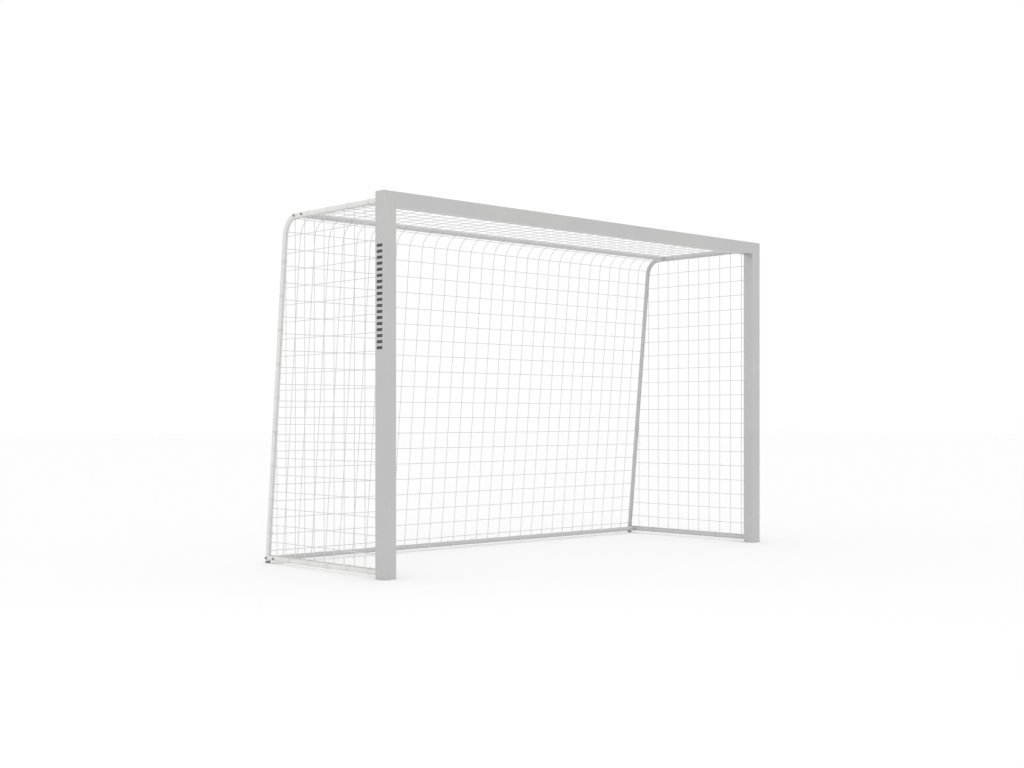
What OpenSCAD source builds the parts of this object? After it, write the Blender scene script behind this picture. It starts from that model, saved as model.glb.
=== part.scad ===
// Free-standing 3 x 2 m goal: square posts and crossbar, bent tube net hoops, rear bars and a net.
// Millimetres, +Z up. The mouth faces -Y, the net hangs towards +Y, and X runs across the goal.
// The origin is on the floor, in the middle of the goal's width and depth.

/* [Goal mouth] */
// Clear width between the posts
mouth_w = 3000; // [1200:100:5000]
// Clear height under the crossbar
mouth_h = 2000; // [1200:100:2400]

/* [Posts and crossbar] */
// Side of the square extrusion
post_size = 80; // [80:1:100]
// Wall of the extrusion
post_wall = 2; // [1.5:0.5:3]
// Radius on the long outer edges of the extrusion
post_edge_r = 3; // [1:0.5:5]
// Width of the open slot along the rear face
slot_w = 12; // [10:1:14]
// Gap left at each mitre for the saw cut
mitre_gap = 0.3; // [0.1:0.1:1]

/* [Net hoops] */
// Outer diameter of every round tube
tube_d = 30; // [28:1:34]
// Wall of the round tubes
tube_wall = 2; // [1.5:0.5:3]
// From the front face of the posts back to the hoop's axis, at floor level
floor_reach = 1235; // [1100:5:1500]
// Backward lean of the hoop's leg, in degrees
leg_lean = 5.7; // [3:0.1:10]
// Bend radius of the hoop, on the tube's axis
bend_r = 120; // [90:5:160]
// Height of the axis of the ground bars
ground_bar_z = 30; // [28:1:40]
// Height of the black cap under each hoop
foot_cap_h = 12; // [8:1:13]

/* [Rear bars] */
// From the front face of the posts back to the rear top bar's axis
top_bar_reach = 882; // [800:1:900]
// From the front face of the posts back to the rear ground bar's axis
ground_bar_reach = 1187; // [1150:1:1190]
// Distance between the two bolts of an end plate
bolt_gap = 80; // [70:1:90]
// Thickness of the flat steel plates
plate_t = 4; // [3:0.5:6]

/* [Net] */
// Mesh size of the net
mesh = 100; // [90:5:120]
// Thickness of the plain net panels
net_t = 1; // [1:0.5:4]
// Diameter of the border cords
border_d = 5; // [4:0.5:6]

/* [Marking] */
// Lowest point of the column of bars on the left post
marking_low = 1232; // [900:1:1300]
// Height of the whole column
marking_h = 564; // [300:1:600]
// Number of bars in the column
marking_bars = 18; // [5:1:24]

/* [Hidden] */

$fn = 64;

// Overall places
tube_r = tube_d / 2;
depth = floor_reach + tube_r;
front_y = -depth / 2;
post_y = front_y + post_size / 2;
post_rear_y = front_y + post_size;
post_x = (mouth_w + post_size) / 2;
top_z = mouth_h + post_size;
bar_z = mouth_h + post_size / 2;

// The hoop's axis lies in a plane behind each post: top leg, bend, leaning leg
foot_y = front_y + floor_reach;
function leg_y(z) = foot_y - z * tan(leg_lean);
bend_turn = 90 - leg_lean;
bend_y = leg_y(bar_z) - bend_r * tan(bend_turn / 2);
bend_z = bar_z - bend_r;
leg_top_y = bend_y + bend_r * cos(leg_lean);
leg_top_z = bend_z + bend_r * sin(leg_lean);
tube_start_y = post_rear_y + plate_t;
cope_trim = 5;

// Extrusion section: a front chamber, a rear chamber and a T-shaped net groove
web_y = -post_wall;
groove_floor_y = post_size / 2 - 15;
groove_lip = 3;
groove_w = 22;
groove_wall = 2;

// Corner connectors and their screws
fit_gap = 0.3;
connector_wall = 6;
connector_arm = 260;
screw_y = front_y + post_wall + (post_size / 2 - 2 * post_wall) / 2;
screw_near = post_size / 2;
screw_far = 244;
screw_r = 4;
screw_len = 16;
screw_head_r = 7.5;
screw_head_h = 3.5;

// M8 bolts of the rear bars and of the mounting plates
bolt_r = 4;
hole_r = 4.5;
hex_r = 13 / sqrt(3);
hex_head_h = 5.5;
nut_h = 6.5;
washer_r = 8;
washer_t = 2;
end_plate_x = post_x - tube_r - plate_t;
plate_end_r = tube_r;
mount_plate_r = 18;
mount_bolt_step = 30;
mount_bolts = [mount_bolt_step, 2 * mount_bolt_step];
t_head = [20, 6, 12];

// Net, clips, ties and border cords
touch_gap = 0.2;
cord_gap = tube_r + border_d / 2 + touch_gap;
border_y = post_rear_y + 24;
net_inset = 26;
net_half_w = post_x - tube_r - 15;
twine_d = 4;
net_columns = 2 * floor(post_x / mesh);
column_gap = 0.992 * mesh;
arc_steps = 12;
clip_z0 = 127;
clip_count = floor((mouth_h - mesh - clip_z0) / mesh) + 2;
clip_ring_r = 5.5;
clip_ring_d = 3;
net_front_y = border_y + clip_ring_r + clip_ring_d / 2 + 0.5;
tie_w = 3.6;
tie_t = 1;
tie_head = 3;
tie_pitch = 2 * mesh;
tie_first = 183;
bar_tie_count = 2 * floor((post_x - mesh) / tie_pitch) + 1;
rear_cord_y = leg_y(ground_bar_z);
loop_reach = rear_cord_y + border_d / 2 - tube_r - front_y - ground_bar_reach;
top_bar_y = front_y + top_bar_reach;
net_bar_gap = tube_r + twine_d + tie_t + 1;

marking_t = 0.3;
marking_w = 50;

alu = [0.76, 0.76, 0.75];
zinc = [0.80, 0.81, 0.82];
black = [0.07, 0.07, 0.07];
cast = [0.62, 0.63, 0.64];
plastic = [0.74, 0.74, 0.74];
cord_grey = [0.84, 0.84, 0.84];

// ---- helpers ----

// Draws its children at the left, and mirrored to the right when side is 1
module on_side(side) {
    mirror([side > 0 ? 1 : 0, 0, 0]) children();
}

// Turns a flat outline given as (y, z) into a slab across X
module across_x(t) {
    rotate([90, 0, 90]) linear_extrude(height = t, center = true) children();
}

// A rod along X, Y or Z that starts at the point where it is placed
module rod_x(r, len) {
    rotate([0, 90, 0]) cylinder(r = r, h = len);
}

module rod_y(r, len) {
    rotate([-90, 0, 0]) cylinder(r = r, h = len);
}

// A square with rounded corners, centred
module rounded_square(size, r) {
    square([size, size - 2 * r], center = true);
    square([size - 2 * r, size], center = true);
    for (sx = [-1, 1], sy = [-1, 1])
        translate([sx * (size / 2 - r), sy * (size / 2 - r)]) circle(r = r);
}

// A straight slot shape with round ends: len between the end centres, along Y
module slot_shape(r, len) {
    translate([-r, 0]) square([2 * r, len]);
    circle(r = r);
    translate([0, len]) circle(r = r);
}

// ---- posts and crossbar ----

// Section of the extrusion; +Y is the rear face with the net groove
module post_section() {
    inner = post_size - 2 * post_wall;
    half = post_size / 2;
    difference() {
        rounded_square(post_size, post_edge_r);
        translate([-inner / 2, -half + post_wall]) square([inner, half - 2 * post_wall]);
        difference() {
            translate([-inner / 2, web_y + post_wall]) square([inner, half - post_wall]);
            translate([-groove_w / 2 - groove_wall, groove_floor_y - groove_wall])
                square([groove_w + 2 * groove_wall, half]);
            translate([-inner / 2, half - groove_lip]) square([inner, groove_lip]);
        }
        translate([-groove_w / 2, groove_floor_y])
            square([groove_w, half - groove_lip - groove_floor_y]);
        translate([-slot_w / 2, half - groove_lip - 1]) square([slot_w, groove_lip + 2]);
    }
}

// Everything on one side of the left mitre: turn 45 is the crossbar's side, 225 the post's
module beyond_mitre(turn) {
    far = 3 * post_size;
    translate([-mouth_w / 2, post_y, mouth_h])
        rotate([0, turn, 0])
            translate([-far, -far, -mitre_gap / 2]) cube([2 * far, 2 * far, 2 * far]);
}

module post() {
    difference() {
        translate([-post_x, post_y, plate_t]) linear_extrude(height = top_z - plate_t) post_section();
        beyond_mitre(45);
        for (down = [screw_near, screw_far])
            translate([-post_x - post_size / 2 - 1, screw_y, top_z - down]) rod_x(hole_r, post_wall + 3);
    }
}

module left_post() {
    color(alu) post();
}

module right_post() {
    color(alu) on_side(1) post();
}

module crossbar() {
    color(alu)
        difference() {
            translate([-post_x - post_size / 2, post_y, bar_z])
                rotate([0, 90, 0]) linear_extrude(height = mouth_w + 2 * post_size) post_section();
            for (side = [-1, 1])
                on_side(side) {
                    beyond_mitre(225);
                    for (along = [screw_near, screw_far])
                        translate([-post_x - post_size / 2 + along, screw_y, top_z - post_wall - 1])
                            cylinder(r = hole_r, h = post_wall + 3);
                }
        }
}

// ---- corner joint ----

// One hollow arm of the corner connector, standing on z = 0 and open at its lower end
module connector_arm_block(len) {
    w = post_size - 2 * post_wall - 2 * fit_gap;
    d = post_size / 2 - 2 * post_wall - 2 * fit_gap;
    difference() {
        translate([-w / 2, -d / 2, -len]) cube([w, d, len]);
        translate([-w / 2 + connector_wall, -d / 2 + connector_wall, -len - 1])
            cube([w - 2 * connector_wall, d - 2 * connector_wall, len - w - connector_wall + 1]);
    }
}

module corner_connector() {
    inset = post_wall + fit_gap;
    corner_x = -post_x - post_size / 2 + inset;
    corner_z = top_z - inset;
    half_w = post_size / 2 - inset;
    arm = connector_arm - inset;
    difference() {
        union() {
            translate([corner_x + half_w, screw_y, corner_z]) connector_arm_block(arm);
            translate([corner_x, screw_y, corner_z - half_w]) rotate([0, -90, 0]) connector_arm_block(arm);
        }
        for (along = [screw_near, screw_far]) {
            translate([corner_x - 1, screw_y, top_z - along]) rod_x(screw_r, screw_len);
            translate([-post_x - post_size / 2 + along, screw_y, corner_z + 1 - screw_len])
                cylinder(r = screw_r, h = screw_len);
        }
    }
}

module left_corner_connector() {
    color(cast) corner_connector();
}

module right_corner_connector() {
    color(cast) on_side(1) corner_connector();
}

// A low button-head screw with a hexagon socket, pointing down from z = 0
module button_screw() {
    socket_r = 2.9;
    difference() {
        union() {
            cylinder(r = screw_head_r, h = screw_head_h * 0.45);
            translate([0, 0, screw_head_h * 0.45])
                cylinder(r1 = screw_head_r, r2 = screw_head_r * 0.62, h = screw_head_h * 0.55);
            translate([0, 0, -screw_len + 1]) cylinder(r = screw_r - 0.05, h = screw_len - 1);
        }
        translate([0, 0, screw_head_h - 2]) cylinder(r = socket_r, h = 3, $fn = 6);
    }
}

module corner_screws() {
    for (along = [screw_near, screw_far]) {
        translate([-post_x - post_size / 2, screw_y, top_z - along]) rotate([0, -90, 0]) button_screw();
        translate([-post_x - post_size / 2 + along, screw_y, top_z]) button_screw();
    }
}

module left_corner_screws() {
    color(zinc) corner_screws();
}

module right_corner_screws() {
    color(zinc) on_side(1) corner_screws();
}

// ---- foot plugs ----

// A plug that closes the post's lower end: a flange to stand on, and hollow blocks that grip inside
module post_foot_plug() {
    grip_h = 25;
    grip_wall = 2.5;
    front_w = post_size - 2 * post_wall - 1;
    front_d = post_size / 2 - 2 * post_wall - 1;
    rear_w = (front_w - groove_w - 2 * groove_wall) / 2 - 2;
    rear_d = 30;
    translate([-post_x, post_y, 0]) {
        linear_extrude(height = plate_t) rounded_square(post_size, post_edge_r);
        translate([0, screw_y - post_y, plate_t])
            linear_extrude(height = grip_h)
                difference() {
                    square([front_w, front_d], center = true);
                    square([front_w - 2 * grip_wall, front_d - 2 * grip_wall], center = true);
                }
        for (side = [-1, 1])
            translate([side * (front_w - rear_w) / 2, 2 + rear_d / 2, plate_t])
                linear_extrude(height = grip_h)
                    difference() {
                        square([rear_w, rear_d], center = true);
                        square([rear_w - 2 * grip_wall, rear_d - 2 * grip_wall], center = true);
                    }
    }
}

module left_post_foot_plug() {
    color(plastic) post_foot_plug();
}

module right_post_foot_plug() {
    color(plastic) on_side(1) post_foot_plug();
}

// ---- net hoops ----

// Ring section of a round tube
module tube_section() {
    difference() {
        circle(r = tube_r);
        circle(r = tube_r - tube_wall);
    }
}

// Puts its children in the plane of the hoop's bend: its own X runs out along the bend's lower radius
module at_bend() {
    translate([0, bend_y, bend_z]) rotate([90, 0, 90]) rotate([0, 0, leg_lean]) children();
}

// The hoop's bend at radius r: a full ring of the section, cut off where each leg begins
module hoop_bend(r) {
    far = 2 * bend_r;
    at_bend()
        difference() {
            rotate_extrude($fn = 96) translate([r, 0]) children();
            translate([-far, -2 * far, -far]) cube(2 * far);
            rotate([0, 0, bend_turn]) translate([-far, 0, -far]) cube(2 * far);
        }
}

// The leaning leg from the bend down past the floor, cut off later
module hoop_leg(r = bend_r) {
    leg_len = leg_top_z / cos(leg_lean) + 2 * tube_r;
    at_bend() translate([r, 0, 0]) rotate([90, 0, 0]) linear_extrude(height = leg_len) children();
}

// The level top leg, from the bend forward to the post's plate
module hoop_top_leg() {
    at_bend()
        rotate([0, 0, bend_turn])
            translate([bend_r, 0, 0])
                rotate([-90, 0, 0]) linear_extrude(height = bend_y - tube_start_y) children();
}

module net_hoop() {
    translate([-post_x, 0, 0])
        difference() {
            union() {
                hoop_top_leg() tube_section();
                hoop_bend(bend_r) tube_section();
                hoop_leg() tube_section();
            }
            translate([-post_size, 0, foot_cap_h - 4 * tube_d]) cube([2 * post_size, depth, 4 * tube_d]);
            for (side = [-1, 1])
                translate([-tube_d, front_y + top_bar_reach + side * bolt_gap / 2, bar_z])
                    rod_x(hole_r, 2 * tube_d);
            translate([-tube_d, front_y + ground_bar_reach + bolt_gap / 2, ground_bar_z])
                rod_x(hole_r, 2 * tube_d);
        }
}

module left_net_hoop() {
    color(alu) net_hoop();
}

module right_net_hoop() {
    color(alu) on_side(1) net_hoop();
}

// A black plug in the hoop's lower end, with a flange that stands on the floor
module hoop_foot_cap() {
    plug_r = tube_r - tube_wall - 0.1;
    plug_top = foot_cap_h + 10;
    translate([-post_x, 0, 0]) {
        intersection() {
            hoop_leg() circle(r = tube_r);
            translate([-tube_d, 0, 0]) cube([2 * tube_d, depth, foot_cap_h]);
        }
        intersection() {
            hoop_leg() circle(r = plug_r);
            translate([-tube_d, 0, foot_cap_h]) cube([2 * tube_d, depth, plug_top - foot_cap_h]);
        }
    }
}

module left_hoop_foot_cap() {
    color(black) hoop_foot_cap();
}

module right_hoop_foot_cap() {
    color(black) on_side(1) hoop_foot_cap();
}

// ---- ground bars and rear bars ----

// Side bar on the floor, from the post's plate to the hoop's leg, coped round the leg
module ground_bar() {
    translate([-post_x, 0, 0])
        difference() {
            translate([0, tube_start_y, ground_bar_z])
                rotate([-90, 0, 0])
                    linear_extrude(height = leg_y(ground_bar_z) - cope_trim - tube_start_y)
                        tube_section();
            hoop_leg() circle(r = tube_r);
            for (end = [-1, 1])
                translate([-tube_d, front_y + ground_bar_reach + end * bolt_gap / 2, ground_bar_z])
                    rod_x(hole_r, 2 * tube_d);
        }
}

module left_ground_bar() {
    color(alu) ground_bar();
}

module right_ground_bar() {
    color(alu) on_side(1) ground_bar();
}

module cross_tube(y, z) {
    translate([-end_plate_x, y, z])
        rotate([0, 90, 0]) linear_extrude(height = 2 * end_plate_x) tube_section();
}

module rear_top_bar() {
    color(alu) cross_tube(front_y + top_bar_reach, bar_z);
}

module rear_ground_bar() {
    color(alu) cross_tube(front_y + ground_bar_reach, ground_bar_z);
}

// Flat plates with round ends, welded to both ends of a rear bar
module end_plates(y, z) {
    for (side = [-1, 1])
        on_side(side)
            translate([-end_plate_x - plate_t / 2, y, z])
                across_x(plate_t)
                    difference() {
                        translate([-bolt_gap / 2, 0]) rotate([0, 0, -90]) slot_shape(plate_end_r, bolt_gap);
                        for (end = [-1, 1])
                            translate([end * bolt_gap / 2, 0]) circle(r = hole_r);
                    }
}

module rear_top_bar_end_plates() {
    color(zinc) end_plates(front_y + top_bar_reach, bar_z);
}

module rear_ground_bar_end_plates() {
    color(zinc) end_plates(front_y + ground_bar_reach, ground_bar_z);
}

// ---- plates that hold the tubes to the rear face of a post ----

// dir -1 hangs the plate's bolts below the tube, +1 puts them above it
module mounting_plate(z, dir) {
    translate([-post_x, post_rear_y + plate_t, z])
        rotate([90, 0, 0])
            linear_extrude(height = plate_t)
                difference() {
                    rotate([0, 0, dir > 0 ? 0 : 180]) slot_shape(mount_plate_r, 2 * mount_bolt_step);
                    for (up = mount_bolts)
                        translate([0, dir * up]) circle(r = hole_r);
                }
}

module mounting_plates() {
    mounting_plate(bar_z, -1);
    mounting_plate(ground_bar_z, 1);
}

module left_mounting_plates() {
    color(alu) mounting_plates();
}

module right_mounting_plates() {
    color(alu) on_side(1) mounting_plates();
}

// Puts its children on the four bolt axes of one side's mounting plates, at the post's rear face
module at_mounting_bolts() {
    for (up = mount_bolts) {
        translate([-post_x, post_rear_y, bar_z - up]) children();
        translate([-post_x, post_rear_y, ground_bar_z + up]) children();
    }
}

// A hammer-head bolt whose head sits behind the lips of the post's groove
module hammer_bolt() {
    reach = groove_lip + plate_t + nut_h + 2;
    translate([-t_head[0] / 2, -groove_lip - t_head[1], -t_head[2] / 2]) cube(t_head);
    translate([0, -groove_lip, 0]) rod_y(bolt_r - 0.05, reach);
}

module left_mounting_bolts() {
    color(zinc) at_mounting_bolts() hammer_bolt();
}

module right_mounting_bolts() {
    color(zinc) on_side(1) at_mounting_bolts() hammer_bolt();
}

// A hexagon nut on an axis along Z, standing on z = 0
module nut() {
    difference() {
        cylinder(r = hex_r, h = nut_h, $fn = 6);
        translate([0, 0, -1]) cylinder(r = bolt_r, h = nut_h + 2);
    }
}

module left_mounting_nuts() {
    color(zinc) at_mounting_bolts() translate([0, plate_t, 0]) rotate([-90, 0, 0]) nut();
}

module right_mounting_nuts() {
    color(zinc) on_side(1) at_mounting_bolts() translate([0, plate_t, 0]) rotate([-90, 0, 0]) nut();
}

// ---- bolts through the hoop's corners ----

// Puts its children on the four bolt axes of one side's rear bars, on the tube's axis
module at_rear_bolts() {
    for (end = [-1, 1]) {
        translate([-post_x, front_y + top_bar_reach + end * bolt_gap / 2, bar_z]) children();
        translate([-post_x, front_y + ground_bar_reach + end * bolt_gap / 2, ground_bar_z]) children();
    }
}

module rear_bolt() {
    head_x = -tube_r - washer_t;
    reach = tube_d + washer_t + plate_t + nut_h + 2;
    translate([head_x - hex_head_h, 0, 0]) rotate([0, 90, 0]) cylinder(r = hex_r, h = hex_head_h, $fn = 6);
    translate([head_x, 0, 0]) rod_x(bolt_r - 0.05, reach);
}

module left_rear_bolts() {
    color(black) at_rear_bolts() rear_bolt();
}

module right_rear_bolts() {
    color(black) on_side(1) at_rear_bolts() rear_bolt();
}

// Flat washers under the bolt heads
module rear_washers() {
    at_rear_bolts()
        translate([-tube_r - washer_t, 0, 0])
            difference() {
                rod_x(washer_r, washer_t);
                translate([-1, 0, 0]) rod_x(hole_r, washer_t + 2);
            }
}

module left_rear_washers() {
    color(black) rear_washers();
}

module right_rear_washers() {
    color(black) on_side(1) rear_washers();
}

module rear_nuts() {
    at_rear_bolts() translate([tube_r + plate_t, 0, 0]) rotate([0, 90, 0]) nut();
}

module left_rear_nuts() {
    color(zinc) rear_nuts();
}

module right_rear_nuts() {
    color(zinc) on_side(1) rear_nuts();
}

// ---- net clips in the groove ----

// A clip with its foot in the groove and an eye behind the post; the eye's hole runs along Z
module net_clip() {
    foot = [18, 4, 10];
    neck_r = 2.5;
    eye_y = border_y - post_rear_y;
    neck_len = groove_lip + eye_y - clip_ring_r - clip_ring_d / 2;
    translate([-foot[0] / 2, -groove_lip - foot[1], -foot[2] / 2]) cube(foot);
    translate([0, -groove_lip, 0]) rod_y(neck_r, neck_len + 1);
    translate([0, eye_y, 0])
        rotate_extrude($fn = 32) translate([clip_ring_r, 0]) circle(r = clip_ring_d / 2, $fn = 20);
}

module post_net_clips() {
    for (i = [0 : clip_count - 1])
        translate([-post_x, post_rear_y, clip_z0 + i * mesh]) net_clip();
}

module left_post_net_clips() {
    color(plastic) post_net_clips();
}

module right_post_net_clips() {
    color(plastic) on_side(1) post_net_clips();
}

module crossbar_net_clips() {
    half = (net_columns - 1) / 2;
    color(plastic)
        for (i = [-half : half])
            translate([i * column_gap, post_rear_y, bar_z]) rotate([0, 90, 0]) net_clip();
}

// ---- net ties round the tubes ----

// A band round a tube along Z, with room for the border cord on its +Y side and for twine at side_room
module net_tie(side_room) {
    slack = border_d / 2;
    r_in = tube_r + norm([slack, side_room]) + 2 * touch_gap;
    translate([side_room, slack, -tie_w / 2]) {
        linear_extrude(height = tie_w)
            difference() {
                circle(r = r_in + tie_t);
                circle(r = r_in);
            }
        translate([-tie_head / 2, r_in + tie_t / 2, 0]) cube([tie_head, tie_head, tie_w]);
    }
}

module hoop_net_ties() {
    leg_ties = floor((leg_top_z - tie_first) / tie_pitch);
    room = twine_d / 2;
    translate([-post_x, 0, 0]) {
        for (y = [tie_first : tie_pitch : top_bar_reach - bolt_gap])
            translate([0, front_y + y, bar_z]) rotate([-90, 0, 0]) net_tie(room);
        for (i = [0 : leg_ties])
            translate([0, leg_y(tie_first + i * tie_pitch), tie_first + i * tie_pitch])
                rotate([leg_lean, 0, 0]) rotate([0, 0, 180]) net_tie(-room);
    }
}

module left_hoop_net_ties() {
    color(plastic) hoop_net_ties();
}

module right_hoop_net_ties() {
    color(plastic) on_side(1) hoop_net_ties();
}

module ground_bar_net_ties() {
    for (y = [tie_first : tie_pitch : ground_bar_reach - bolt_gap - tie_pitch / 2])
        translate([-post_x, front_y + y, ground_bar_z]) rotate([90, 0, 0]) net_tie(0);
}

module left_ground_bar_net_ties() {
    color(plastic) ground_bar_net_ties();
}

module right_ground_bar_net_ties() {
    color(plastic) on_side(1) ground_bar_net_ties();
}

// Loops round a rear bar at (y, z), longer than the bar is thick by reach, one at every second mesh
module bar_loops(y, z, reach) {
    half = (bar_tie_count - 1) / 2;
    color(plastic)
        for (i = [-half : half])
            translate([2 * i * column_gap, y, z])
                across_x(tie_w)
                    difference() {
                        rotate([0, 0, -90]) slot_shape(tube_r + touch_gap + tie_t, reach);
                        rotate([0, 0, -90]) slot_shape(tube_r + touch_gap, reach);
                    }
}

// Long loops that reach from the rear ground bar back to the net's lower edge
module rear_ground_bar_net_ties() {
    bar_loops(front_y + ground_bar_reach, ground_bar_z, loop_reach);
}

// Loops that hold an edge of the net in front of the rear top bar and one behind it
module rear_top_bar_net_ties() {
    bar_loops(top_bar_y - twine_d, bar_z, 2 * twine_d);
}

// ---- net panels ----

// Points along the net's or the hoop's bend at radius r, as (y, z), from the top down
function arc_points(cy, cz, r) = [
    for (i = [0 : arc_steps])
        let (a = 90 - i * bend_turn / arc_steps)
            [cy + r * cos(a), cz + r * sin(a)]
];

// A strip from the crossbar to the rear top bar, and one from that bar round the bend
module roof_net() {
    half_t = net_t / 2;
    front_end = top_bar_y - net_bar_gap;
    rear_start = top_bar_y + net_bar_gap;
    upper = concat([[rear_start, bar_z + half_t]], arc_points(bend_y, bend_z, bend_r + half_t));
    lower = concat([[rear_start, bar_z - half_t]], arc_points(bend_y, bend_z, bend_r - half_t));
    count = len(lower) - 1;
    flipped = [for (i = [0 : count]) lower[count - i]];
    color(cord_grey)
        across_x(2 * net_half_w) {
            translate([net_front_y, bar_z - half_t]) square([front_end - net_front_y, net_t]);
            polygon(concat(upper, flipped));
        }
}

// The leaning panel between the hoops, from the bend down to the rear ground bar
module back_net() {
    half_t = net_t / 2;
    low = ground_bar_z + tube_r + tie_t + 1;
    high = leg_top_z - 1;
    color(cord_grey)
        across_x(2 * net_half_w)
            polygon([
                [leg_y(low) - half_t, low],
                [leg_y(low) + half_t, low],
                [leg_y(high) + half_t, high],
                [leg_y(high) - half_t, high]
            ]);
}

// Outline of one side opening, inset from the tubes' axes and from a front edge, as (y, z)
function side_outline(inset, front) = concat(
    [
        [leg_y(ground_bar_z + inset) - inset / cos(leg_lean), ground_bar_z + inset],
        [front, ground_bar_z + inset],
        [front, bar_z - inset]
    ],
    arc_points(bend_y, bend_z, bend_r - inset)
);

// The flat panel that fills one hoop
module side_net() {
    translate([-post_x, 0, 0]) across_x(net_t) polygon(side_outline(net_inset, net_front_y));
}

module left_side_net() {
    color(cord_grey) side_net();
}

module right_side_net() {
    color(cord_grey) on_side(1) side_net();
}

// ---- border cords ----

// A closed cord round one side panel: up behind the post, under the top leg, down the leg, forward
module side_border_cord() {
    r = border_d / 2;
    translate([-post_x, 0, 0])
        across_x(border_d)
            difference() {
                polygon(side_outline(cord_gap - r, border_y - r));
                polygon(side_outline(cord_gap + r, border_y + r));
            }
}

module left_side_border_cord() {
    color(cord_grey) side_border_cord();
}

module right_side_border_cord() {
    color(cord_grey) on_side(1) side_border_cord();
}

module crossbar_border_cord() {
    half = post_x - tube_r - touch_gap;
    color(cord_grey) translate([-half, border_y, bar_z]) rod_x(border_d / 2, 2 * half);
}

// Lower edge of the back net
module rear_border_cord() {
    color(cord_grey)
        translate([-net_half_w, rear_cord_y, ground_bar_z]) rod_x(border_d / 2, 2 * net_half_w);
}

// ---- marking ----

// Plain bars on the outer face of the left post
module post_marking() {
    bar_h = marking_h / (2 * marking_bars - 1);
    pitch = 2 * bar_h;
    color([0.24, 0.24, 0.23])
        translate([-post_x - post_size / 2 - marking_t / 2, post_y - marking_w / 2, marking_low])
            across_x(marking_t)
                for (i = [0 : marking_bars - 1])
                    translate([0, i * pitch]) square([marking_w, bar_h]);
}

left_post();
right_post();
crossbar();
left_corner_connector();
right_corner_connector();
left_corner_screws();
right_corner_screws();
left_post_foot_plug();
right_post_foot_plug();
left_net_hoop();
right_net_hoop();
left_hoop_foot_cap();
right_hoop_foot_cap();
left_ground_bar();
right_ground_bar();
rear_top_bar();
rear_ground_bar();
rear_top_bar_end_plates();
rear_ground_bar_end_plates();
left_mounting_plates();
right_mounting_plates();
left_mounting_bolts();
right_mounting_bolts();
left_mounting_nuts();
right_mounting_nuts();
left_rear_bolts();
right_rear_bolts();
left_rear_washers();
right_rear_washers();
left_rear_nuts();
right_rear_nuts();
left_post_net_clips();
right_post_net_clips();
crossbar_net_clips();
left_hoop_net_ties();
right_hoop_net_ties();
left_ground_bar_net_ties();
right_ground_bar_net_ties();
rear_ground_bar_net_ties();
rear_top_bar_net_ties();
roof_net();
back_net();
left_side_net();
right_side_net();
left_side_border_cord();
right_side_border_cord();
crossbar_border_cord();
rear_border_cord();
post_marking();
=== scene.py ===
"""Looks for a free-standing 3 x 2 m goal: knotted net, braided border cords and the frame's materials.

The net panels and border cords are built here. Every rigid part is the CAD node itself with its own material.
"""
import math

import bmesh
import bpy
import numpy as np
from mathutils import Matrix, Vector


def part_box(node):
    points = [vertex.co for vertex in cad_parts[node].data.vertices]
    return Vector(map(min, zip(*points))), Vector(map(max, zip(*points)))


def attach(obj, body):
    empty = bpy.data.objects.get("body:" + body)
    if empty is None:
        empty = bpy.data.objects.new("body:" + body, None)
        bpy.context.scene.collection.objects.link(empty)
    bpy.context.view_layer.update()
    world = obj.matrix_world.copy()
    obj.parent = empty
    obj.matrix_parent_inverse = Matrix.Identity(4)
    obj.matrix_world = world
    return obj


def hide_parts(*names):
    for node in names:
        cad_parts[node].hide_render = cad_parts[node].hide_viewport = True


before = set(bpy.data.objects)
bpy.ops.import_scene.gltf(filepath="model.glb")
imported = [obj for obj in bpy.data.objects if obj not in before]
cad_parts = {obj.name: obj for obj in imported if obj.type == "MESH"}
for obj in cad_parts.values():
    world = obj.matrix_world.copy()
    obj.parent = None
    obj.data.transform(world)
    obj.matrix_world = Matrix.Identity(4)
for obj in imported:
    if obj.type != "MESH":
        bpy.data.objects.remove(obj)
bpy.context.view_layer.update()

# ---- places, from the frame ----

POST_LOW, POST_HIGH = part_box("left_post")
BAR_LOW, BAR_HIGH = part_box("crossbar")
HOOP_LOW, HOOP_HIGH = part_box("left_net_hoop")
GROUND_LOW, GROUND_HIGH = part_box("rear_ground_bar")
CORD_LOW, CORD_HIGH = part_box("left_side_border_cord")
TOP_BAR_LOW, TOP_BAR_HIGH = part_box("rear_top_bar")

POST_X = -(POST_LOW.x + POST_HIGH.x) / 2
POST_FRONT_Y = POST_LOW.y
BAR_Z = (BAR_LOW.z + BAR_HIGH.z) / 2
TUBE_R = (HOOP_HIGH.x - HOOP_LOW.x) / 2
GROUND_BAR_Z = (GROUND_LOW.z + GROUND_HIGH.z) / 2
TOP_BAR_Y = (TOP_BAR_LOW.y + TOP_BAR_HIGH.y) / 2

# The hoop's axis: a level top leg, a bend and a leg that leans back and ends on its foot cap
LEAN = math.radians(5.7)
BEND_R = 0.120
BEND_TURN = math.pi / 2 - LEAN
CAP_HEIGHT = 0.012
FOOT_Y = HOOP_HIGH.y - TUBE_R / math.cos(LEAN) + CAP_HEIGHT * math.tan(LEAN)
BEND_Z = BAR_Z - BEND_R
BEND_Y = FOOT_Y - BAR_Z * math.tan(LEAN) - BEND_R * math.tan(BEND_TURN / 2)

# ---- net ----

MESH = 0.100
TWINE_R = 0.0020
CORD_R = 0.0025
CORD_SIDES = 12
TOUCH_GAP = 0.0002
BORDER_Y = CORD_LOW.y + CORD_R
CORD_GAP = TUBE_R + CORD_R + TOUCH_GAP
EDGE_GAP = TUBE_R + TWINE_R

# Uprights and rows of a side net
SIDE_YS = [POST_FRONT_Y + 0.133 + MESH * k for k in range(11)]
SIDE_ZS = [0.127 + MESH * k for k in range(19)]

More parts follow.
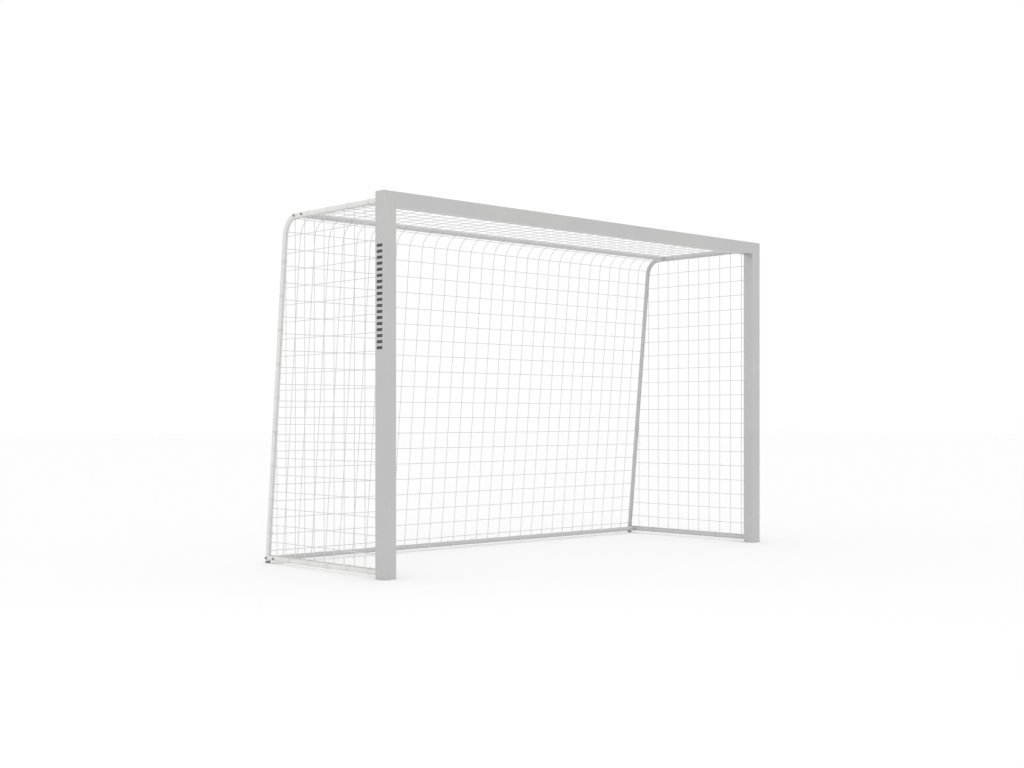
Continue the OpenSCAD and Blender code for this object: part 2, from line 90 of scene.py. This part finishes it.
# Columns and rows of the roof and back net; rows are counted along the net from the rear border cord
BACK_COLUMNS = 30
COLUMN_GAP = 0.0992
BACK_XS = [(k - (BACK_COLUMNS - 1) / 2) * COLUMN_GAP for k in range(BACK_COLUMNS)]
FIRST_ROW = 0.0417
ROW_GAP = 0.0998
LAST_ROW_ROOM = 0.4 * ROW_GAP

# Where the rear bars' end plates keep the net away from the hoops
PLATE_X = POST_X - 0.032
PLATE_REACH = 0.060
PLATE_Z = GROUND_BAR_Z + 0.018
ROOF_Z = BEND_Z + 0.9 * BEND_R

# How far a strand strays from its line, and how even that is from one point to the next
WANDER = 0.0004
SOFTEN = [0.25, 0.5, 0.25]

# A knot is a ball of this radius with four swollen corners, pressed flat
KNOT_SIZE = 0.0044
KNOT_SWELL = 0.16
KNOT_FLATNESS = 0.68
KNOT_WRAP = 0.006

# Distance between the points of a strand or cord
PATH_STEP = 0.004
EDGE_STEP = 0.010
LOOP_STEP = 0.012
STRAIGHT_STEP = 0.020
BEND_STEPS = 24

random = np.random.default_rng(7)


def leg_y(z):
    """Y of the leaning leg's axis at height z."""
    return FOOT_Y - z * math.tan(LEAN)


def arc(radius, start, end):
    """Points (y, z) round the hoop's bend; angle 0 points back, and a quarter turn points up."""
    angles = np.linspace(start, end, BEND_STEPS)
    return [(BEND_Y + radius * math.cos(a), BEND_Z + radius * math.sin(a)) for a in angles]


def resample(points, step):
    """The same polyline with evenly spaced points about one step apart."""
    points = np.array(points, float)
    gaps = np.linalg.norm(np.diff(points, axis=0), axis=1)
    along = np.concatenate([[0], np.cumsum(gaps)])
    count = max(2, int(round(along[-1] / step)) + 1)
    at = np.linspace(0, along[-1], count)
    return np.stack([np.interp(at, along, points[:, i]) for i in range(3)], 1)


class Tubes:
    """Collects round tubes and knots into one mesh, with U round the tube and V along it in metres."""

    def __init__(self):
        self.points = []
        self.faces = []
        self.uvs = []
        self.count = 0

    def add(self, points, faces, uvs):
        self.points.append(points)
        self.faces.extend([[i + self.count for i in f] for f in faces])
        self.uvs.extend(uvs)
        self.count += len(points)

    def tube(self, path, radius, sides=8, closed=False):
        """A round tube along a path, with flat ends unless it closes on itself."""
        path = np.array(path, float)
        n = len(path)
        if closed:
            tangent = np.roll(path, -1, 0) - np.roll(path, 1, 0)
        else:
            tangent = np.gradient(path, axis=0)
        tangent /= np.linalg.norm(tangent, axis=1)[:, None]
        upright = abs(tangent[0][2]) > 0.9
        side = np.cross(tangent[0], [1, 0, 0] if upright else [0.31, 0.17, 0.93])
        turn = np.linspace(0, 2 * math.pi, sides, endpoint=False)
        rings = []
        for p, t in zip(path, tangent):
            side = side - t * (side @ t)
            side /= np.linalg.norm(side)
            up = np.cross(t, side)
            rings.append(p + radius * (np.cos(turn)[:, None] * side + np.sin(turn)[:, None] * up))
        steps = np.linalg.norm(np.diff(path, axis=0), axis=1)
        along = np.concatenate([[0], np.cumsum(steps)])
        faces = []
        uvs = []
        for i in range(n if closed else n - 1):
            j = (i + 1) % n
            v0 = along[i]
            v1 = along[j] if j else v0 + np.linalg.norm(path[0] - path[i])
            for k in range(sides):
                m = (k + 1) % sides
                faces.append([i * sides + k, i * sides + m, j * sides + m, j * sides + k])
                uvs.extend([(k / sides, v0), ((k + 1) / sides, v0), ((k + 1) / sides, v1), (k / sides, v1)])
        if not closed:
            faces.append(list(range(sides))[::-1])
            faces.append([(n - 1) * sides + k for k in range(sides)])
            uvs.extend([(0.5, 0.0)] * sides + [(0.5, along[-1])] * sides)
        self.add(np.concatenate(rings), faces, uvs)

    def knot(self, place, across, along):
        """A flattened lump with four soft corners, where two twines run through each other."""
        normal = np.cross(across, along)
        u, v, w = KNOT_POINTS.T
        swell = 1 + KNOT_SWELL * np.cos(4 * np.arctan2(v, u)) * np.hypot(u, v)
        ball = np.outer(u * swell, across) + np.outer(v * swell, along) + np.outer(KNOT_FLATNESS * w, normal)
        uvs = [(0.5 + 0.5 * u[i], KNOT_WRAP * v[i]) for f in KNOT_FACES for i in f]
        self.add(place + KNOT_SIZE * ball, KNOT_FACES, uvs)

    def build(self, name, material):
        """The finished mesh object, with smooth faces and one material."""
        mesh = bpy.data.meshes.new(name)
        mesh.from_pydata(np.concatenate(self.points).tolist(), [], self.faces)
        layer = mesh.uv_layers.new(name="UVMap")
        layer.data.foreach_set("uv", np.array(self.uvs, np.float32).ravel())
        mesh.polygons.foreach_set("use_smooth", [True] * len(mesh.polygons))
        mesh.materials.append(material)
        mesh.update()
        piece = bpy.data.objects.new(name, mesh)
        bpy.context.scene.collection.objects.link(piece)
        return piece


def unit_knot():
    """Points and faces of a small round ball, from a divided icosahedron."""
    ball = bmesh.new()
    bmesh.ops.create_icosphere(ball, subdivisions=2, radius=1.0)
    points = np.array([v.co[:] for v in ball.verts])
    faces = [[v.index for v in f.verts] for f in ball.faces]
    ball.free()
    return points, faces


KNOT_POINTS, KNOT_FACES = unit_knot()


# ---- materials ----

def material(name, color, metallic=0.0, roughness=0.5):
    """A plain material, which the functions below give its texture."""
    made = bpy.data.materials.new(name)
    made.use_nodes = True
    shader = made.node_tree.nodes["Principled BSDF"]
    shader.inputs["Base Color"].default_value = (*color, 1)
    shader.inputs["Metallic"].default_value = metallic
    shader.inputs["Roughness"].default_value = roughness
    return made


class Nodes:
    """Short names for adding and linking a material's nodes."""

    def __init__(self, made):
        self.tree = made.node_tree
        self.shader = self.tree.nodes["Principled BSDF"]

    def add(self, kind, **values):
        node = self.tree.nodes.new(kind)
        for key, value in values.items():
            if hasattr(node, key):
                setattr(node, key, value)
            else:
                node.inputs[key.replace("_", " ")].default_value = value
        return node

    def link(self, out, to):
        self.tree.links.new(out, to)

    def place(self, scale):
        """Object coordinates, scaled differently along each axis."""
        coords = self.add("ShaderNodeTexCoord")
        mapping = self.add("ShaderNodeMapping", Scale=scale)
        self.link(coords.outputs["Object"], mapping.inputs["Vector"])
        return mapping.outputs["Vector"]

    def noise(self, vector, scale, detail=4.0, rough=0.55):
        node = self.add("ShaderNodeTexNoise", Scale=scale, Detail=detail, Roughness=rough)
        self.link(vector, node.inputs["Vector"])
        return node.outputs["Fac"]

    def span(self, value, low, high, from_low=0.0, from_high=1.0):
        node = self.add("ShaderNodeMapRange")
        self.link(value, node.inputs["Value"])
        node.inputs["From Min"].default_value = from_low
        node.inputs["From Max"].default_value = from_high
        node.inputs["To Min"].default_value = low
        node.inputs["To Max"].default_value = high
        return node.outputs["Result"]

    def math(self, kind, a, b=0.0):
        node = self.add("ShaderNodeMath", operation=kind)
        for i, value in enumerate((a, b)):
            if isinstance(value, (int, float)):
                node.inputs[i].default_value = value
            else:
                self.link(value, node.inputs[i])
        return node.outputs["Value"]

    def winding(self, kind, around, along):
        """Ridges of strands that wind one way round the cord."""
        phase = self.math("MULTIPLY", self.math(kind, around, along), 0.5)
        return self.math("ABSOLUTE", self.math("SINE", phase))

    def shades(self, value, dark, light):
        """Two colours mixed by a value, onto the base colour."""
        ramp = self.add("ShaderNodeValToRGB")
        ramp.color_ramp.elements[0].color = (*dark, 1)
        ramp.color_ramp.elements[1].color = (*light, 1)
        self.link(value, ramp.inputs["Fac"])
        self.link(ramp.outputs["Color"], self.shader.inputs["Base Color"])

    def bump(self, height, strength, distance):
        node = self.add("ShaderNodeBump", Strength=strength, Distance=distance)
        self.link(height, node.inputs["Height"])
        self.link(node.outputs["Normal"], self.shader.inputs["Normal"])


def extruded_aluminium(name, grey, along):
    """Satin aluminium with faint drawing lines along one axis (0, 1 or 2)."""
    made = material(name, (grey, grey, grey), 1.0, 0.4)
    n = Nodes(made)
    fine = [420.0, 420.0, 420.0]
    fine[along] = 1.2
    lines = n.noise(n.place(fine), 1.0, 3.0)
    cloud = n.noise(n.place((1, 1, 1)), 3.5, 5.0)
    dark, light = 0.965 * grey, 1.03 * grey
    n.shades(n.span(cloud, 0.0, 1.0, 0.3, 0.7), (dark, dark, dark), (light, light, light * 0.992))
    mixed = n.math("ADD", n.math("MULTIPLY", lines, 0.65), n.math("MULTIPLY", cloud, 0.35))
    n.link(n.span(mixed, 0.34, 0.50, 0.35, 0.65), n.shader.inputs["Roughness"])
    n.bump(lines, 0.22, 0.0004)
    return made


def tube_metal(name, grey, warm=1.0):
    """Light satin coating on round tube, with a very fine grain and soft handling marks."""
    made = material(name, (grey, grey, grey), 0.0, 0.42)
    n = Nodes(made)
    grain = n.noise(n.place((1, 1, 1)), 900.0, 2.0)
    cloud = n.noise(n.place((1, 1, 1)), 9.0, 5.0)
    dark, light = 0.95 * grey, 1.03 * grey
    n.shades(n.span(cloud, 0.0, 1.0, 0.3, 0.7), (dark, dark, dark * warm), (light, light, light * warm))
    n.link(n.span(cloud, 0.36, 0.50, 0.3, 0.7), n.shader.inputs["Roughness"])
    n.bump(grain, 0.12, 0.0002)
    return made


def zinc_plate(name, grey, roughness=0.38):
    """Zinc plating with the crystals' faint patches."""
    made = material(name, (grey, grey, grey), 0.85, roughness)
    n = Nodes(made)
    cells = n.add("ShaderNodeTexVoronoi", Scale=160.0)
    n.link(n.place((1, 1, 1)), cells.inputs["Vector"])
    patch = n.noise(n.place((1, 1, 1)), 40.0, 4.0)
    mixed = n.math("ADD", n.math("MULTIPLY", cells.outputs["Distance"], 0.6), n.math("MULTIPLY", patch, 0.6))
    n.shades(n.span(mixed, 0.0, 1.0, 0.2, 0.8), (grey * 0.86,) * 3, (grey * 1.08,) * 3)
    n.link(n.span(mixed, roughness - 0.08, roughness + 0.12, 0.2, 0.8), n.shader.inputs["Roughness"])
    n.bump(patch, 0.15, 0.0003)
    return made


def cast_metal(name, grey):
    """Sand-cast aluminium with a coarse grain."""
    made = material(name, (grey, grey, grey), 0.8, 0.6)
    n = Nodes(made)
    grain = n.noise(n.place((1, 1, 1)), 700.0, 4.0, 0.7)
    n.shades(grain, (grey * 0.8,) * 3, (grey * 1.1,) * 3)
    n.bump(grain, 0.5, 0.0005)
    return made


def moulded_plastic(name, color, roughness=0.48, grain=0.25, translucent=0.0):
    """Moulded plastic with a fine spark-eroded grain."""
    made = material(name, color, 0.0, roughness)
    n = Nodes(made)
    texture = n.noise(n.place((1, 1, 1)), 1400.0, 2.0)
    cloud = n.noise(n.place((1, 1, 1)), 25.0, 3.0)
    n.shades(cloud, tuple(0.9 * c for c in color), tuple(min(1, 1.08 * c) for c in color))
    n.link(n.span(texture, roughness - 0.06, roughness + 0.08, 0.3, 0.7), n.shader.inputs["Roughness"])
    n.shader.inputs["Subsurface Weight"].default_value = translucent
    n.shader.inputs["Subsurface Radius"].default_value = (0.004, 0.004, 0.004)
    n.bump(texture, grain, 0.0002)
    return made


def twine(name, grey, strands, pitch, braided):
    """Twisted or braided cord: strands wind round it once every pitch metres, with fine fibres along them and
    painted shade in the grooves between them.
    """
    made = material(name, (grey, grey, grey), 0.0, 0.72)
    n = Nodes(made)
    coords = n.add("ShaderNodeTexCoord")
    split = n.add("ShaderNodeSeparateXYZ")
    n.link(coords.outputs["UV"], split.inputs["Vector"])
    around = n.math("MULTIPLY", split.outputs["X"], strands * 2 * math.pi)
    along = n.math("MULTIPLY", split.outputs["Y"], 2 * math.pi / pitch)
    weave = n.winding("ADD", around, along)
    if braided:
        weave = n.math("MAXIMUM", weave, n.winding("SUBTRACT", around, along))
    fibres = n.noise(n.place((1, 1, 1)), 2200.0, 2.0)
    height = n.math("ADD", weave, n.math("MULTIPLY", fibres, 0.25))
    # Painted shade: the grooves between the strands are coloured darker, as shade falls there
    n.shades(n.span(weave, 0.0, 1.0, 0.1, 0.9), (grey * 0.74,) * 3, (grey * 1.05,) * 3)
    n.shader.inputs["Sheen Weight"].default_value = 0.25
    n.shader.inputs["Sheen Roughness"].default_value = 0.5
    n.bump(height, 0.8, 0.0006)
    return made


def marking_film(name):
    """Black film, a little worn."""
    made = material(name, (0.035, 0.035, 0.035), 0.0, 0.5)
    n = Nodes(made)
    worn = n.noise(n.place((1, 1, 1)), 120.0, 6.0, 0.65)
    n.shades(n.span(worn, 0.0, 1.0, 0.35, 0.8), (0.028, 0.028, 0.028), (0.06, 0.06, 0.058))
    n.bump(worn, 0.1, 0.0001)
    return made


def floor_paint(name):
    """A pale matt floor with very faint clouds."""
    made = material(name, (0.985, 0.985, 0.985), 0.0, 0.9)
    n = Nodes(made)
    cloud = n.noise(n.place((1, 1, 1)), 0.6, 3.0)
    n.shades(cloud, (0.982, 0.982, 0.982), (0.988, 0.988, 0.988))
    return made


POST_GREY = 0.552
TUBE_GREY = 0.540
# Painted light: the left hoop and left ground bar get a lighter, slightly warmer copy of the same tube
# coating, standing in for the light that falls on the left side
LEFT_TUBE_PAINTED_LIGHT_GREY = 0.755

MATERIALS = {
    "post": extruded_aluminium("post_aluminium", POST_GREY, 2),
    "bar": extruded_aluminium("crossbar_aluminium", POST_GREY, 0),
    "tube": tube_metal("tube_coating", TUBE_GREY),
    # Painted light: the lit copy of the tube coating, lighter and slightly warmer than the coating on the
    # other tubes
    "tube_left": tube_metal("tube_coating_left_painted_light", LEFT_TUBE_PAINTED_LIGHT_GREY, 0.985),
    "plate": zinc_plate("zinc_plate", 0.70),
    "zinc": zinc_plate("zinc_fasteners", 0.68, 0.32),
    "dark": moulded_plastic("grey_coated_steel", (0.23, 0.23, 0.235), 0.4, 0.15),
    "cap": moulded_plastic("dark_plastic", (0.22, 0.22, 0.224), 0.55, 0.3),
    "plug": moulded_plastic("grey_plastic", (0.42, 0.42, 0.42), 0.5, 0.3),
    "clip": moulded_plastic("clip_nylon", (0.69, 0.69, 0.68), 0.45, 0.1, 0.2),
    "cast": cast_metal("cast_aluminium", 0.5),
    "net": twine("net_twine", 0.715, 3, 0.014, braided=False),
    "cord": twine("border_cord", 0.62, 4, 0.012, braided=True),
    "mark": marking_film("marking_film"),
}

NODE_MATERIALS = {
    "left_post": "post", "right_post": "post", "crossbar": "bar",
    "left_corner_connector": "cast", "right_corner_connector": "cast",
    "left_corner_screws": "zinc", "right_corner_screws": "zinc",
    "left_post_foot_plug": "plug", "right_post_foot_plug": "plug",
    # The left hoop and left ground bar take the lit copy of the tube coating: painted light
    "left_net_hoop": "tube_left", "left_ground_bar": "tube_left",
    "right_net_hoop": "tube", "right_ground_bar": "tube",
    "rear_top_bar": "tube", "rear_ground_bar": "tube",
    "left_hoop_foot_cap": "cap", "right_hoop_foot_cap": "cap",
    "rear_top_bar_end_plates": "plate", "rear_ground_bar_end_plates": "plate",
    "left_mounting_plates": "plate", "right_mounting_plates": "plate",
    "left_mounting_bolts": "zinc", "right_mounting_bolts": "zinc",
    "left_mounting_nuts": "zinc", "right_mounting_nuts": "zinc",
    "left_rear_bolts": "dark", "right_rear_bolts": "dark",
    "left_rear_washers": "zinc", "right_rear_washers": "zinc",
    "left_rear_nuts": "zinc", "right_rear_nuts": "zinc",
    "left_post_net_clips": "clip", "right_post_net_clips": "clip", "crossbar_net_clips": "clip",
    "left_hoop_net_ties": "clip", "right_hoop_net_ties": "clip",
    "left_ground_bar_net_ties": "clip", "right_ground_bar_net_ties": "clip",
    "rear_top_bar_net_ties": "clip", "rear_ground_bar_net_ties": "clip",
    "post_marking": "mark",
}

# Faces that meet at less than this angle shade as one; width of the broken edge, by material
SMOOTH_ANGLE = math.radians(32)
EDGE = {"plate": 0.0006, "zinc": 0.0004, "dark": 0.0005, "clip": 0.0003}


def dress(node, key):
    """Gives a CAD node its material, smooth round faces and softly broken edges."""
    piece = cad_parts[node]
    piece.data.materials.clear()
    piece.data.materials.append(MATERIALS[key])
    piece.data.polygons.foreach_set("use_smooth", [True] * len(piece.data.polygons))
    if key in EDGE:
        bevel = piece.modifiers.new("edge", "BEVEL")
        bevel.width = EDGE[key]
        bevel.segments = 2
        bevel.limit_method = "ANGLE"
        bevel.angle_limit = SMOOTH_ANGLE
    normals = piece.modifiers.new("normals", "WEIGHTED_NORMAL")
    normals.keep_sharp = True
    mark_sharp(piece.data)


def mark_sharp(mesh):
    """Marks every edge that turns more than the smooth angle, or has one face, as sharp."""
    normals = np.array([p.normal[:] for p in mesh.polygons])
    faces_of = {}
    for polygon in mesh.polygons:
        for key in polygon.edge_keys:
            faces_of.setdefault(key, []).append(polygon.index)
    limit = math.cos(SMOOTH_ANGLE)
    sharp = []
    for edge in mesh.edges:
        faces = faces_of.get(edge.key, [])
        flat = len(faces) == 2 and normals[faces[0]] @ normals[faces[1]] > limit
        sharp.append(not flat)
    attribute = mesh.attributes.get("sharp_edge") or mesh.attributes.new("sharp_edge", "BOOLEAN", "EDGE")
    attribute.data.foreach_set("value", sharp)


for node, key in NODE_MATERIALS.items():
    dress(node, key)


# ---- side nets ----

def inner_line(y):
    """Underside of the hoop at y: the height where a side net's upright ends."""
    inside = BEND_R - CORD_GAP
    if y <= BEND_Y:
        return BAR_Z - CORD_GAP
    if y < BEND_Y + inside * math.cos(LEAN):
        return BEND_Z + math.sqrt(inside ** 2 - (y - BEND_Y) ** 2)
    return (FOOT_Y - CORD_GAP / math.cos(LEAN) - y) / math.tan(LEAN)


def rear_end(z):
    """Front side of the hoop at height z: where a side net's row ends."""
    inside = BEND_R - CORD_GAP
    if z > BEND_Z + inside * math.sin(LEAN):
        return BEND_Y + math.sqrt(inside ** 2 - (z - BEND_Z) ** 2)
    return leg_y(z) - CORD_GAP / math.cos(LEAN)


def stray(count):
    """How far each of a strand's points lies off its line. The ends stay in place."""
    shift = np.convolve(random.normal(0, WANDER, count), SOFTEN, "same")
    shift[0] = 0
    shift[-1] = 0
    return shift


def strand(start, end, axis):
    """Points of a strand that strays a little along one axis, as real twine does between its knots."""
    points = resample([start, end], MESH / 4)
    points[:, axis] += stray(len(points))
    return points


def side_net(name, side):
    """Uprights, rows and knots between the post, the ground bar and one hoop."""
    x = side * POST_X
    low = GROUND_BAR_Z + CORD_GAP
    net = Tubes()
    spots = []
    for y in SIDE_YS:
        net.tube(strand((x, y, low), (x, y, inner_line(y)), 1), TWINE_R)
        spots += [(y, z) for z in SIDE_ZS if z < inner_line(y) - 0.5 * TWINE_R]
        spots += [(y, low), (y, inner_line(y))]
    for z in SIDE_ZS:
        net.tube(strand((x, BORDER_Y, z), (x, rear_end(z), z), 2), TWINE_R)
        spots += [(BORDER_Y, z), (rear_end(z), z)]
    for y, z in spots:
        net.knot(np.array([x, y, z]), np.array([0, 1.0, 0]), np.array([0, 0, 1.0]))
    return net.build(name, MATERIALS["net"])


# ---- roof and back net ----

def back_path():
    """(y, z) from the rear cord up the leaning back, round the bend and forward to the crossbar's cord."""
    points = [(leg_y(GROUND_BAR_Z), GROUND_BAR_Z)]
    points += arc(BEND_R, LEAN, math.pi / 2)
    points.append((BORDER_Y, BAR_Z))
    return resample([(0, y, z) for y, z in points], PATH_STEP)


BACK_PATH = back_path()
BACK_ALONG = np.concatenate([[0], np.cumsum(np.linalg.norm(np.diff(BACK_PATH, axis=0), axis=1))])
BACK_END = BACK_ALONG[-1]
LEG_END = (BEND_Z + BEND_R * math.sin(LEAN) - GROUND_BAR_Z) / math.cos(LEAN)


def on_back(s):
    """Point (y, z) at a distance s along the back path."""
    return np.array([np.interp(s, BACK_ALONG, BACK_PATH[:, i]) for i in (1, 2)])


def roof_at(y):
    """Distance along the back path of a point on the roof."""
    return BACK_END - (y - BORDER_Y)


def near_plate(y, z):
    """True where an end plate of a rear bar stands between the net and the hoop."""
    return z < PLATE_Z or (z > ROOF_Z and abs(y - TOP_BAR_Y) < PLATE_REACH)


def edge_strands(net, start, end):
    """Twine along both hoops, left out where an end plate is in its way."""
    count = int((end - start) / EDGE_STEP) + 2
    places = [on_back(s) for s in np.linspace(start, end, count)]
    free = [(y, z) for y, z in places if not near_plate(y, z)]
    for side in (-1, 1):
        net.tube([(side * (POST_X - EDGE_GAP), y, z) for y, z in free], TWINE_R)


def add_back_panel(net, start, end):
    """Columns, rows, knots and side edges of one panel, between two distances along the back path."""
    count = int((end - start) / STRAIGHT_STEP) + 2
    for x in BACK_XS:
        line = np.array([(x, *on_back(s)) for s in np.linspace(start, end, count)])
        line[:, 0] += stray(count)
        net.tube(line, TWINE_R)
    for s in np.arange(FIRST_ROW, BACK_END - LAST_ROW_ROOM, ROW_GAP):
        if start + TWINE_R <= s < end - TWINE_R:
            add_row(net, s)
    edge_strands(net, start, end)


def add_row(net, s):
    """One row from hoop to hoop, with its knots, at a distance along the back path."""
    y, z = on_back(s)
    half = PLATE_X if near_plate(y, z) else POST_X - EDGE_GAP
    net.tube(strand((-half, y, z), (half, y, z), 2), TWINE_R)
    ahead = on_back(s + TWINE_R) - on_back(s - TWINE_R)
    up = np.array([0, *ahead]) / np.linalg.norm(ahead)
    for x in [-half, *BACK_XS, half]:
        net.knot(np.array([x, y, z]), np.array([1.0, 0, 0]), up)


def bar_edge(net, y):
    """Twine along the rear top bar, with the columns knotted to it."""
    net.tube(strand((-PLATE_X, y, BAR_Z), (PLATE_X, y, BAR_Z), 2), TWINE_R)
    for x in BACK_XS:
        net.knot(np.array([x, y, BAR_Z]), np.array([1.0, 0, 0]), np.array([0, 1.0, 0]))


def back_net(name):
    """The leaning panel from the rear border cord up to the bend."""
    net = Tubes()
    add_back_panel(net, 0.0, LEG_END)
    return net.build(name, MATERIALS["net"])


def roof_net(name):
    """The strip over the bend, and the panel from the rear top bar forward to the crossbar."""
    net = Tubes()
    rear, front = TOP_BAR_Y + EDGE_GAP, TOP_BAR_Y - EDGE_GAP
    add_back_panel(net, LEG_END, roof_at(rear))
    bar_edge(net, rear)
    bar_edge(net, front)
    add_back_panel(net, roof_at(front), BACK_END)
    return net.build(name, MATERIALS["net"])


left_net = side_net("left_side_net_twine", -1)
right_net = side_net("right_side_net_twine", 1)

for piece, node in ((left_net, "left_side_net"), (right_net, "right_side_net"),
                    (back_net("back_net_twine"), "back_net"), (roof_net("roof_net_twine"), "roof_net")):
    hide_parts(node)
    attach(piece, "root")


# ---- border cords ----

def side_border(name, side):
    """A closed braided cord round one side net."""
    x = side * POST_X
    low, high = GROUND_BAR_Z + CORD_GAP, BAR_Z - CORD_GAP
    points = [(BORDER_Y, low), (BORDER_Y, high), (BEND_Y, high)]
    points += arc(BEND_R - CORD_GAP, math.pi / 2, LEAN)[1:]
    points += [(rear_end(low), low), (BORDER_Y, low)]
    path = resample([(x, y, z) for y, z in points], LOOP_STEP)[:-1]
    cord = Tubes()
    cord.tube(path, CORD_R, CORD_SIDES, closed=True)
    return cord.build(name, MATERIALS["cord"])


def straight_cord(name, node):
    """A braided cord from end to end of its node's box."""
    low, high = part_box(node)
    y, z = (low.y + high.y) / 2, (low.z + high.z) / 2
    cord = Tubes()
    cord.tube(resample([(low.x, y, z), (high.x, y, z)], STRAIGHT_STEP), CORD_R, CORD_SIDES)
    return cord.build(name, MATERIALS["cord"])


for piece, node in ((side_border("left_border_rope", -1), "left_side_border_cord"),
                    (side_border("right_border_rope", 1), "right_side_border_cord"),
                    (straight_cord("crossbar_border_rope", "crossbar_border_cord"), "crossbar_border_cord"),
                    (straight_cord("rear_border_rope", "rear_border_cord"), "rear_border_cord")):
    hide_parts(node)
    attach(piece, "root")


# ---- floor, light and camera ----

FLOOR_HALF = 60.0
BOX_PLACE = (-4.0, -3.4, 3.2)
BOX_TARGET = (-0.6, 0.0, 0.9)
BOX_SIZE = 3.0
BOX_POWER = 8
CAMERA_PLACE = (-5.875, POST_FRONT_Y - 6.050, 0.869)
CAMERA_TURN = -45.67
CAMERA_LENS = 48.23
CAMERA_SHIFT = (-0.1184, 0.0324)


def link(piece):
    bpy.context.scene.collection.objects.link(piece)


def plain_floor():
    h = FLOOR_HALF
    mesh = bpy.data.meshes.new("floor")
    mesh.from_pydata([(-h, -h, 0), (h, -h, 0), (h, h, 0), (-h, h, 0)], [], [[0, 1, 2, 3]])
    mesh.materials.append(floor_paint("floor_paint"))
    floor = bpy.data.objects.new("floor", mesh)
    link(floor)


def white_world():
    """Even white light from all sides, and the white background."""
    world = bpy.data.worlds.new("studio")
    bpy.context.scene.world = world
    world.use_nodes = True
    background = world.node_tree.nodes["Background"]
    background.inputs["Color"].default_value = (1, 1, 1, 1)
    background.inputs["Strength"].default_value = 1.0


def soft_box():
    """A weak square light in front on the left, which the camera doesn't see."""
    data = bpy.data.lights.new("left_soft_box", "AREA")
    data.size = BOX_SIZE
    data.energy = BOX_POWER
    light = bpy.data.objects.new("left_soft_box", data)
    light.visible_camera = False
    link(light)
    light.location = BOX_PLACE
    direction = Vector(BOX_TARGET) - Vector(BOX_PLACE)
    light.rotation_euler = direction.to_track_quat("-Z", "Y").to_euler()


def camera():
    data = bpy.data.cameras.new("camera")
    data.sensor_width = 36.0
    data.lens = CAMERA_LENS
    data.shift_x, data.shift_y = CAMERA_SHIFT
    data.clip_end = 200.0
    made = bpy.data.objects.new("camera", data)
    link(made)
    made.location = CAMERA_PLACE
    made.rotation_euler = (math.radians(90), 0, math.radians(CAMERA_TURN))
    bpy.context.scene.camera = made


plain_floor()
white_world()
soft_box()
camera()
bpy.context.scene.view_settings.view_transform = "Standard"
